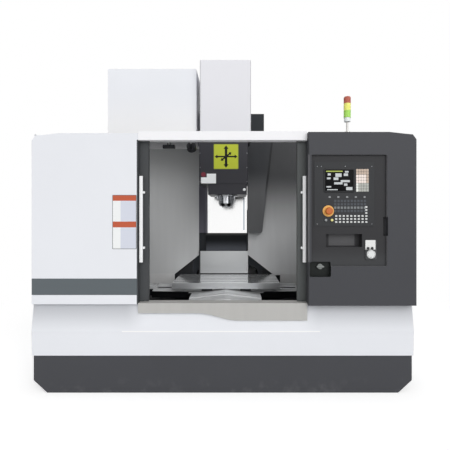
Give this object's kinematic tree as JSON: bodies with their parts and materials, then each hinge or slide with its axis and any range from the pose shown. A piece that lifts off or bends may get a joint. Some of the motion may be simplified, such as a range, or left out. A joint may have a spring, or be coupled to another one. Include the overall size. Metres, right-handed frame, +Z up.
{
  "type": "cnc machining center",
  "caption": "Vertical machining centre with sliding doors, cross table, vertical head and spindle, tool magazine and operator panel.",
  "frame": {"origin": "floor level, under the middle of the machine", "axes": "+X to the operator's right, +Y away from the operator, +Z up"},
  "size_m": [3.224, 2.5, 3.143],
  "materials": {
    "white_paint": "satin powder coat",
    "charcoal_paint": "satin powder coat",
    "base_paint": "satin powder coat",
    "sill_paint": "satin paint",
    "guard_paint": "satin paint",
    "casting_paint": "eggshell paint on cast iron",
    "pan_paint": "satin paint",
    "ground_iron": "ground",
    "cover_steel": "polished sheet",
    "screw_steel": "ground",
    "spindle_steel": "ground and polished",
    "foot_steel": "zinc plated",
    "handle_white": "gloss paint",
    "window_pane": "clear laminated pane",
    "panel_plastic": "fine texture",
    "screen_glass": "glossy",
    "stop_red": "gloss",
    "button_grey": "gloss",
    "button_yellow": "gloss",
    "unit_white": "fine texture",
    "knob_black": "fine texture",
    "knob_grey": "fine texture",
    "lens_plastic": "translucent, in three colours",
    "tower_grey": "satin",
    "lamp_black": "satin"
  },
  "bodies": {
    "frame": {"levelling_feet": "foot_steel", "machine_bed": "casting_paint", "column": "casting_paint", "base_tray": "base_paint", "lower_front_panel": "white_paint", "door_sill": "sill_paint", "left_front_panel": "white_paint", "control_housing": "charcoal_paint", "top_beam": "white_paint", "left_side_panel": "white_paint", "right_side_panel": "white_paint", "left_splash_panel": "guard_paint", "right_splash_panel": "guard_paint", "chip_pan": "pan_paint", "column_apron": "cover_steel", "hose_guard": "casting_paint", "front_way_cover_1": "cover_steel", "rear_way_cover_1": "cover_steel", "column_way_cover_1": "cover_steel", "magazine_housing": "white_paint", "operator_panel": "panel_plastic", "display_screen": "screen_glass", "handwheel_unit": "unit_white", "signal_tower_base": "tower_grey", "signal_lenses": "lens_plastic", "electrical_cabinet": "white_paint"},
    "left_door": {"left_door_frame": "white_paint", "left_door_window": "window_pane", "left_door_handle": "handle_white"},
    "right_door": {"right_door_frame": "white_paint", "right_door_window": "window_pane", "right_door_handle": "handle_white"},
    "saddle": {"saddle": "casting_paint", "saddle_way_covers": "cover_steel"},
    "table": {"table": "ground_iron"},
    "front_cover_2": {"front_way_cover_2": "cover_steel"},
    "front_cover_3": {"front_way_cover_3": "cover_steel"},
    "rear_cover_2": {"rear_way_cover_2": "cover_steel"},
    "column_cover_2": {"column_way_cover_2": "cover_steel"},
    "head": {"head_casting": "casting_paint", "head_body_cover": "charcoal_paint", "head_top_cover": "white_paint", "spindle_cartridge": "spindle_steel", "column_way_cover_3": "cover_steel"},
    "spindle": {"spindle_shaft": "spindle_steel"},
    "drawbar": {"drawbar": "screw_steel"},
    "x_screw": {"x_ball_screw": "screw_steel"},
    "y_screw": {"y_ball_screw": "screw_steel"},
    "z_screw": {"z_ball_screw": "screw_steel"},
    "magazine": {"magazine_disc": "knob_grey"},
    "e_stop": {"e_stop_button": "stop_red"},
    "cycle_start": {"cycle_start_button": "button_grey"},
    "feed_hold": {"feed_hold_button": "button_yellow"},
    "dial": {"handwheel_dial": "unit_white"},
    "axis_selector": {"axis_knob": "knob_black"},
    "rate_selector": {"rate_knob": "knob_black"},
    "mode_selector": {"mode_knob": "knob_grey"},
    "left_lamp": {"left_work_lamp": "lamp_black"},
    "right_lamp": {"right_work_lamp": "lamp_black"},
    "rear_door": {"cabinet_door": "white_paint"}
  },
  "joints": [
    {"name": "left_door_slide", "type": "slide", "parent": "frame", "child": "left_door", "axis": [1, 0, 0], "range_m": [0, 0.637]},
    {"name": "right_door_slide", "type": "slide", "parent": "frame", "child": "right_door", "axis": [-1, 0, 0], "range_m": [0, 0.637]},
    {"name": "saddle_travel", "type": "slide", "parent": "frame", "child": "saddle", "axis": [0, 1, 0], "range_m": [-0.6, 0]},
    {"name": "table_travel", "type": "slide", "parent": "saddle", "child": "table", "axis": [1, 0, 0], "range_m": [-0.55, 0.55]},
    {"name": "head_travel", "type": "slide", "parent": "frame", "child": "head", "axis": [0, 0, 1], "range_m": [-0.65, 0]},
    {"name": "front_cover_2_slide", "type": "slide", "parent": "frame", "child": "front_cover_2", "axis": [0, 1, 0], "range_m": [-0.2, 0]},
    {"name": "front_cover_3_slide", "type": "slide", "parent": "frame", "child": "front_cover_3", "axis": [0, 1, 0], "range_m": [-0.4, 0]},
    {"name": "rear_cover_2_slide", "type": "slide", "parent": "frame", "child": "rear_cover_2", "axis": [0, 1, 0], "range_m": [-0.3, 0]},
    {"name": "column_cover_2_slide", "type": "slide", "parent": "frame", "child": "column_cover_2", "axis": [0, 0, 1], "range_m": [-0.325, 0]},
    {"name": "x_screw_spin", "type": "hinge", "parent": "saddle", "child": "x_screw", "pos_m": [0, 0.08, 0.62], "axis": [1, 0, 0], "continuous": true},
    {"name": "y_screw_spin", "type": "hinge", "parent": "frame", "child": "y_screw", "pos_m": [0, 0, 0.5], "axis": [0, 1, 0], "continuous": true},
    {"name": "z_screw_spin", "type": "hinge", "parent": "frame", "child": "z_screw", "pos_m": [0, 0.462, 2], "axis": [0, 0, 1], "continuous": true},
    {"name": "spindle_spin", "type": "hinge", "parent": "head", "child": "spindle", "pos_m": [0, -0.22, 1.8], "axis": [0, 0, 1], "continuous": true},
    {"name": "drawbar_slide", "type": "slide", "parent": "spindle", "child": "drawbar", "axis": [0, 0, 1], "range_m": [-0.006, 0], "stiffness_N_per_m": 40000},
    {"name": "magazine_spin", "type": "hinge", "parent": "frame", "child": "magazine", "pos_m": [-0.795, -0.1, 2.7], "axis": [0, 1, 0], "continuous": true},
    {"name": "e_stop_press", "type": "slide", "parent": "frame", "child": "e_stop", "axis": [0, 1, 0], "range_m": [0, 0.006], "stiffness_N_per_m": 2500},
    {"name": "cycle_start_press", "type": "slide", "parent": "frame", "child": "cycle_start", "axis": [0, 1, 0], "range_m": [0, 0.003], "stiffness_N_per_m": 1500},
    {"name": "feed_hold_press", "type": "slide", "parent": "frame", "child": "feed_hold", "axis": [0, 1, 0], "range_m": [0, 0.003], "stiffness_N_per_m": 1500},
    {"name": "dial_turn", "type": "hinge", "parent": "frame", "child": "dial", "pos_m": [1.235, -1.2, 1.183], "axis": [0, 1, 0], "continuous": true},
    {"name": "axis_selector_turn", "type": "hinge", "parent": "frame", "child": "axis_selector", "pos_m": [1.21, -1.2, 1.233], "axis": [0, 1, 0], "range_deg": [-60, 60]},
    {"name": "rate_selector_turn", "type": "hinge", "parent": "frame", "child": "rate_selector", "pos_m": [1.244, -1.2, 1.233], "axis": [0, 1, 0], "range_deg": [-60, 60]},
    {"name": "mode_selector_turn", "type": "hinge", "parent": "frame", "child": "mode_selector", "pos_m": [0.817, -1.18, 1.078], "axis": [0, 1, 0], "range_deg": [0, 90]},
    {"name": "left_lamp_tilt", "type": "hinge", "parent": "frame", "child": "left_lamp", "pos_m": [-0.492, -0.96, 2.165], "axis": [1, 0, 0], "range_deg": [-10, 40]},
    {"name": "right_lamp_tilt", "type": "hinge", "parent": "frame", "child": "right_lamp", "pos_m": [-0.294, -0.96, 2.165], "axis": [1, 0, 0], "range_deg": [-10, 40]},
    {"name": "rear_door_swing", "type": "hinge", "parent": "frame", "child": "rear_door", "pos_m": [-0.534, 1.236, 1.29], "axis": [0, 0, 1], "range_deg": [0, 110]}
  ],
  "couplings": [
    {"joint": "front_cover_2_slide", "follows": "saddle_travel", "ratio": 0.33333},
    {"joint": "front_cover_3_slide", "follows": "saddle_travel", "ratio": 0.66667},
    {"joint": "rear_cover_2_slide", "follows": "saddle_travel", "ratio": 0.5},
    {"joint": "y_screw_spin", "follows": "saddle_travel", "rad_per_m": 392.7},
    {"joint": "x_screw_spin", "follows": "table_travel", "rad_per_m": 392.7},
    {"joint": "column_cover_2_slide", "follows": "head_travel", "ratio": 0.5},
    {"joint": "z_screw_spin", "follows": "head_travel", "rad_per_m": 392.7}
  ]
}
